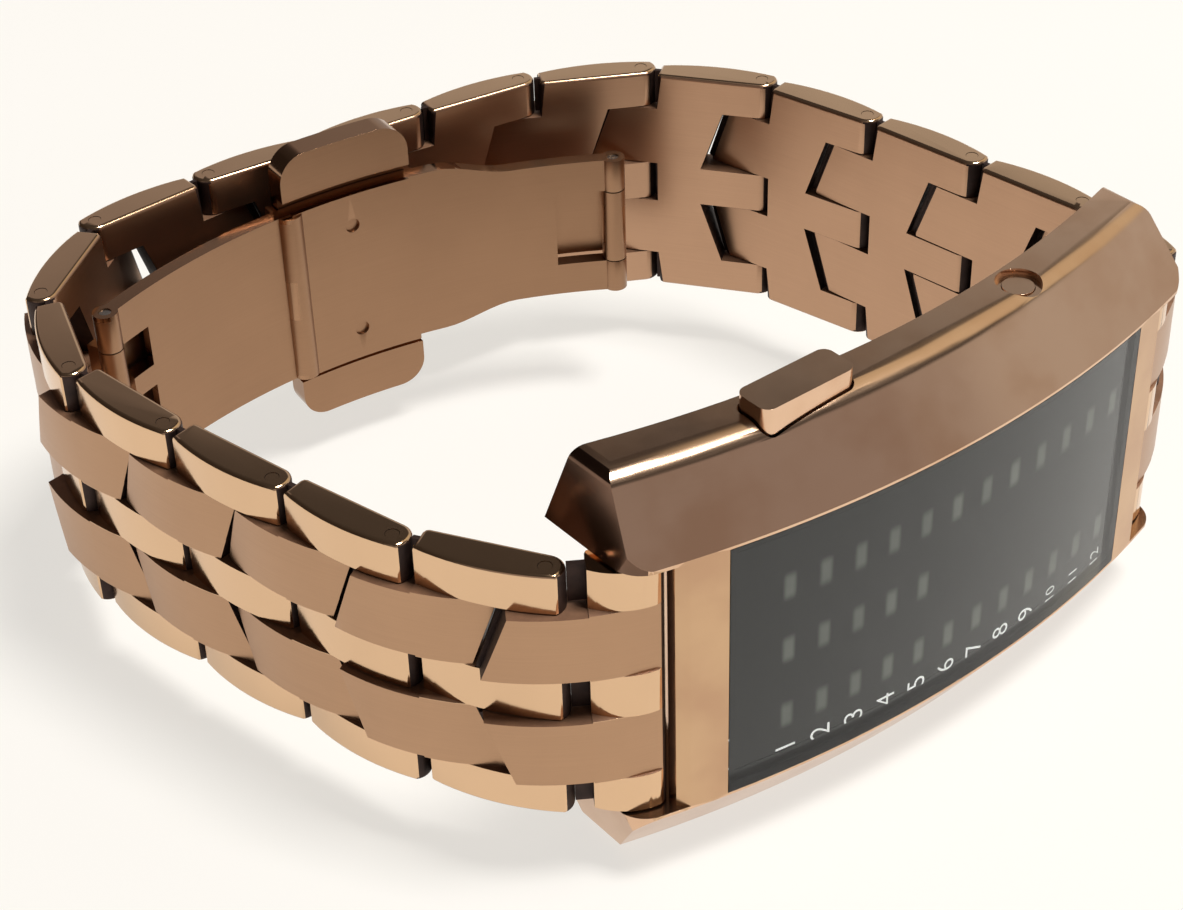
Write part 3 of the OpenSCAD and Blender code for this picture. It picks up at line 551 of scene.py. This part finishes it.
rose_gold = polished("rose_gold_polish", tint(226, 190, 160), tint(214, 174, 142))
link_gold = linked("rose_gold_links", tint(224, 187, 150), tint(190, 151, 119),
                   tint(196, 156, 126))
crossbar_gold = polished("rose_gold_crossbar", tint(204, 168, 132), tint(192, 154, 122),
                         0.16, 0.26)
dull_gold = tint(166, 129, 100)
clasp_gold = linked("rose_gold_clasp", dull_gold, dull_gold, dull_gold)
# Painted shade: a dark gold for the walls in the gaps and for the sills, where the gaps hold only
# shade
shadowed = plain("rose_gold_in_the_gaps", tint(62, 44, 38), tint(48, 34, 30), 0.6, 0.45, 0.6)
# Painted shade: a darker mid gold for the walls between a link's rows
between = plain("rose_gold_between_rows", tint(150, 112, 86), tint(132, 98, 76), 0.35, 0.35, 0.5)
# Painted reflection: a dark gold for the upper lugs' ends, where the polish shows a dark room
lug_painted_reflection = polished("rose_gold_lug_ends", tint(120, 92, 76), tint(96, 74, 60))
steel = plain("turned_steel", tint(172, 170, 167), tint(158, 156, 153), 1.0, 0.22, 0.32, 2600.0)
dial = dial_finish()
finishes = {
    "gold": rose_gold, "brushed_gold": clasp_gold, "crystal": smoked_glass(), "mask": dial,
    "lamp": dial, "steel": steel,
    "board": plain("board_green", tint(30, 92, 56), tint(22, 74, 46), 0.0, 0.35, 0.5),
    "chip": plain("chip_black", tint(38, 38, 40), tint(52, 52, 54), 0.0, 0.45, 0.6),
    "frame": plain("frame_resin", tint(206, 204, 196), tint(188, 186, 178), 0.0, 0.45, 0.6),
    "contact": plain("contact_brass", tint(214, 176, 96), tint(190, 150, 80), 1.0, 0.25, 0.4),
    "gasket": plain("gasket_rubber", tint(30, 30, 30), tint(42, 42, 42), 0.0, 0.7, 0.85)}
for part in frame["record"]["subparts"]:
    dress(nodes[part["node"]], finishes[part["material_slot"]])

for name in nodes:
    if name.startswith(("link_", "end_link_")):
        bevelled_link(name, link_gold, shadowed, between)
    elif name.startswith("pin_"):
        dress(nodes[name], link_gold)
case = rounded("case_body", 0.18 * MM, rose_gold, corner=24, segments=3)
for other in (dial, crossbar_gold, lug_painted_reflection):
    case.data.materials.append(other)
for face in case.data.polygons:         # the glass's seat, the crossbars, and the upper lugs' ends with a painted dark reflection
    x, z = face.center.x, face.center.z
    if (glass_low.x - SEAT < x < glass_high.x + SEAT
            and glass_low.z - SEAT < z < glass_high.z + SEAT):
        face.material_index = 1
    elif abs(z - MID_Z) < CROSSBAR and face.normal.y < -0.3:
        face.material_index = 2
    elif abs(x - CASE_X) > LUG_X and z > MID_Z and abs(face.normal.x) > 0.5:
        face.material_index = 3
for name in ("clasp_base", "clasp_cover", "arm_left", "arm_right"):
    rounded(name, 0.1 * MM, clasp_gold)
for name in ("button_upper", "button_lower"):
    rounded(name, 0.3 * MM, clasp_gold, segments=3)
rounded("main_pusher", 0.35 * MM, rose_gold, segments=4)
rounded("set_pusher", 0.2 * MM, rose_gold, segments=3)

printed_film(dial)
# Painted light: the printed numbers glow a little of their own, though they are no lamp
glowing_ink = plain("printed_white", tint(252, 253, 250), tint(240, 243, 238), 0.0, 0.5, 0.6,
              Emission_Color=tint(252, 253, 250), Emission_Strength=0.55)
for number in range(1, LAMP_COUNT + 1):
    digit(str(number), number - 1, glowing_ink)

# ---------------------------------------------------------------- light and camera

FLOOR_GLOW = 0.68           # share of the floor's own brightness in what the camera sees
bpy.ops.object.select_all(action="DESELECT")
bpy.ops.mesh.primitive_plane_add(size=3.0, location=(0.3, 0.3, 0.0))
floor = bpy.context.object
floor.name = "pale_floor"
WARM_WHITE = tint(255, 252, 246)
ground = Finish("pale_floor", Roughness=0.65)
ground.feed("Base_Color", ground.mix(ground.noise((14.0, 14.0, 14.0), 2.0).step(0.3, 0.7),
                                     tint(247, 244, 238), tint(251, 248, 243)))
paths = ground.tree.nodes.new("ShaderNodeLightPath").outputs
seen = (Value(ground, paths["Is Camera Ray"]) + Value(ground, paths["Is Glossy Ray"])
        + Value(ground, paths["Is Transmission Ray"]))
paper = ground.tree.nodes.new("ShaderNodeEmission")
paper.inputs["Color"].default_value = WARM_WHITE
blend = ground.tree.nodes.new("ShaderNodeMixShader")
ground.put(blend.inputs["Fac"], seen * FLOOR_GLOW)
ground.tree.links.new(ground.shader.outputs[0], blend.inputs[1])
ground.tree.links.new(paper.outputs[0], blend.inputs[2])
ground.tree.links.new(blend.outputs[0], ground.output.inputs["Surface"])
dress(floor, ground.material)


def soft_light(name, place, target, size, power, colour):
    """A square lamp at a place, turned towards its target"""
    bpy.ops.object.light_add(type="AREA", location=place)
    lamp = bpy.context.object
    lamp.name = name
    lamp.data.shape, lamp.data.size, lamp.data.energy = "SQUARE", size, power
    lamp.data.color = colour
    lamp.rotation_euler = (Vector(target) - Vector(place)).to_track_quat("-Z", "Y").to_euler()


soft_light("ceiling_lamp", (0.17, -0.26, 0.90), (0, 0, 0), 0.26, 9.3, (1.0, 0.985, 0.96))

world = bpy.data.worlds.new("studio")
bpy.context.scene.world = world
world.use_nodes = True
sky = world.node_tree
sky.nodes.clear()


class Sky(Finish):
    """The world's colour by direction, made with the same nodes as a finish"""

    def __init__(self, tree):
        self.tree = tree


# The room: paler to the right, dark high up and at the far left, and one warm window
air = Sky(sky)
direction = air.add("ShaderNodeTexCoord", {}, out=GENERATED)
_, _, rise = air.split(direction)
to_right = air.vector("DOT_PRODUCT", direction, (1.0, 0.1, 0.0), out=1)
far_left = air.vector("DOT_PRODUCT", direction, (-0.71, 0.71, 0.0), out=1)
window = air.vector("DOT_PRODUCT", direction, (0.70, 0.05, 0.71), out=1)
upper = air.mix(to_right.step(0.40, 0.68), tint(155, 147, 146), tint(192, 188, 184))
upper = air.mix(rise.step(0.50, 0.58), upper, tint(70, 66, 64))
upper = air.mix(far_left.step(0.40, 0.75), upper, tint(58, 52, 48))
upper = air.mix(window.step(0.90, 0.97), upper, tint(214, 202, 176))
colour = air.mix(rise.step(-0.10, -0.01), WARM_WHITE, upper)
background = sky.nodes.new("ShaderNodeBackground")
air.put(background.inputs["Color"], colour)
background.inputs["Strength"].default_value = 1.0
sky.links.new(background.outputs[0], sky.nodes.new("ShaderNodeOutputWorld").inputs["Surface"])

# The camera stands where the photograph was taken from
azimuth, elevation, roll = -0.657, 0.63578, -0.03239
stand = CASE_X - 0.09617, GLASS_Y - 0.08495, 0.11928
back = Vector((math.sin(azimuth) * math.cos(elevation), -math.cos(azimuth) * math.cos(elevation),
               math.sin(elevation)))
right = Vector((math.cos(azimuth), math.sin(azimuth), 0.0))
up = back.cross(right)
across = right * math.cos(roll) + up * math.sin(roll)
upright = up * math.cos(roll) - right * math.sin(roll)
view = bpy.data.cameras.new("camera")
camera = bpy.data.objects.new("camera", view)
bpy.context.scene.collection.objects.link(camera)
camera.matrix_world = (Matrix.Translation(stand)
                       @ Matrix((across, upright, back)).transposed().to_4x4())
view.sensor_fit, view.sensor_width, view.lens = "HORIZONTAL", 36.0, 74.378
view.clip_start, view.clip_end = 0.01, 10.0
bpy.context.scene.camera = camera

bpy.context.scene.view_settings.view_transform = "Standard"
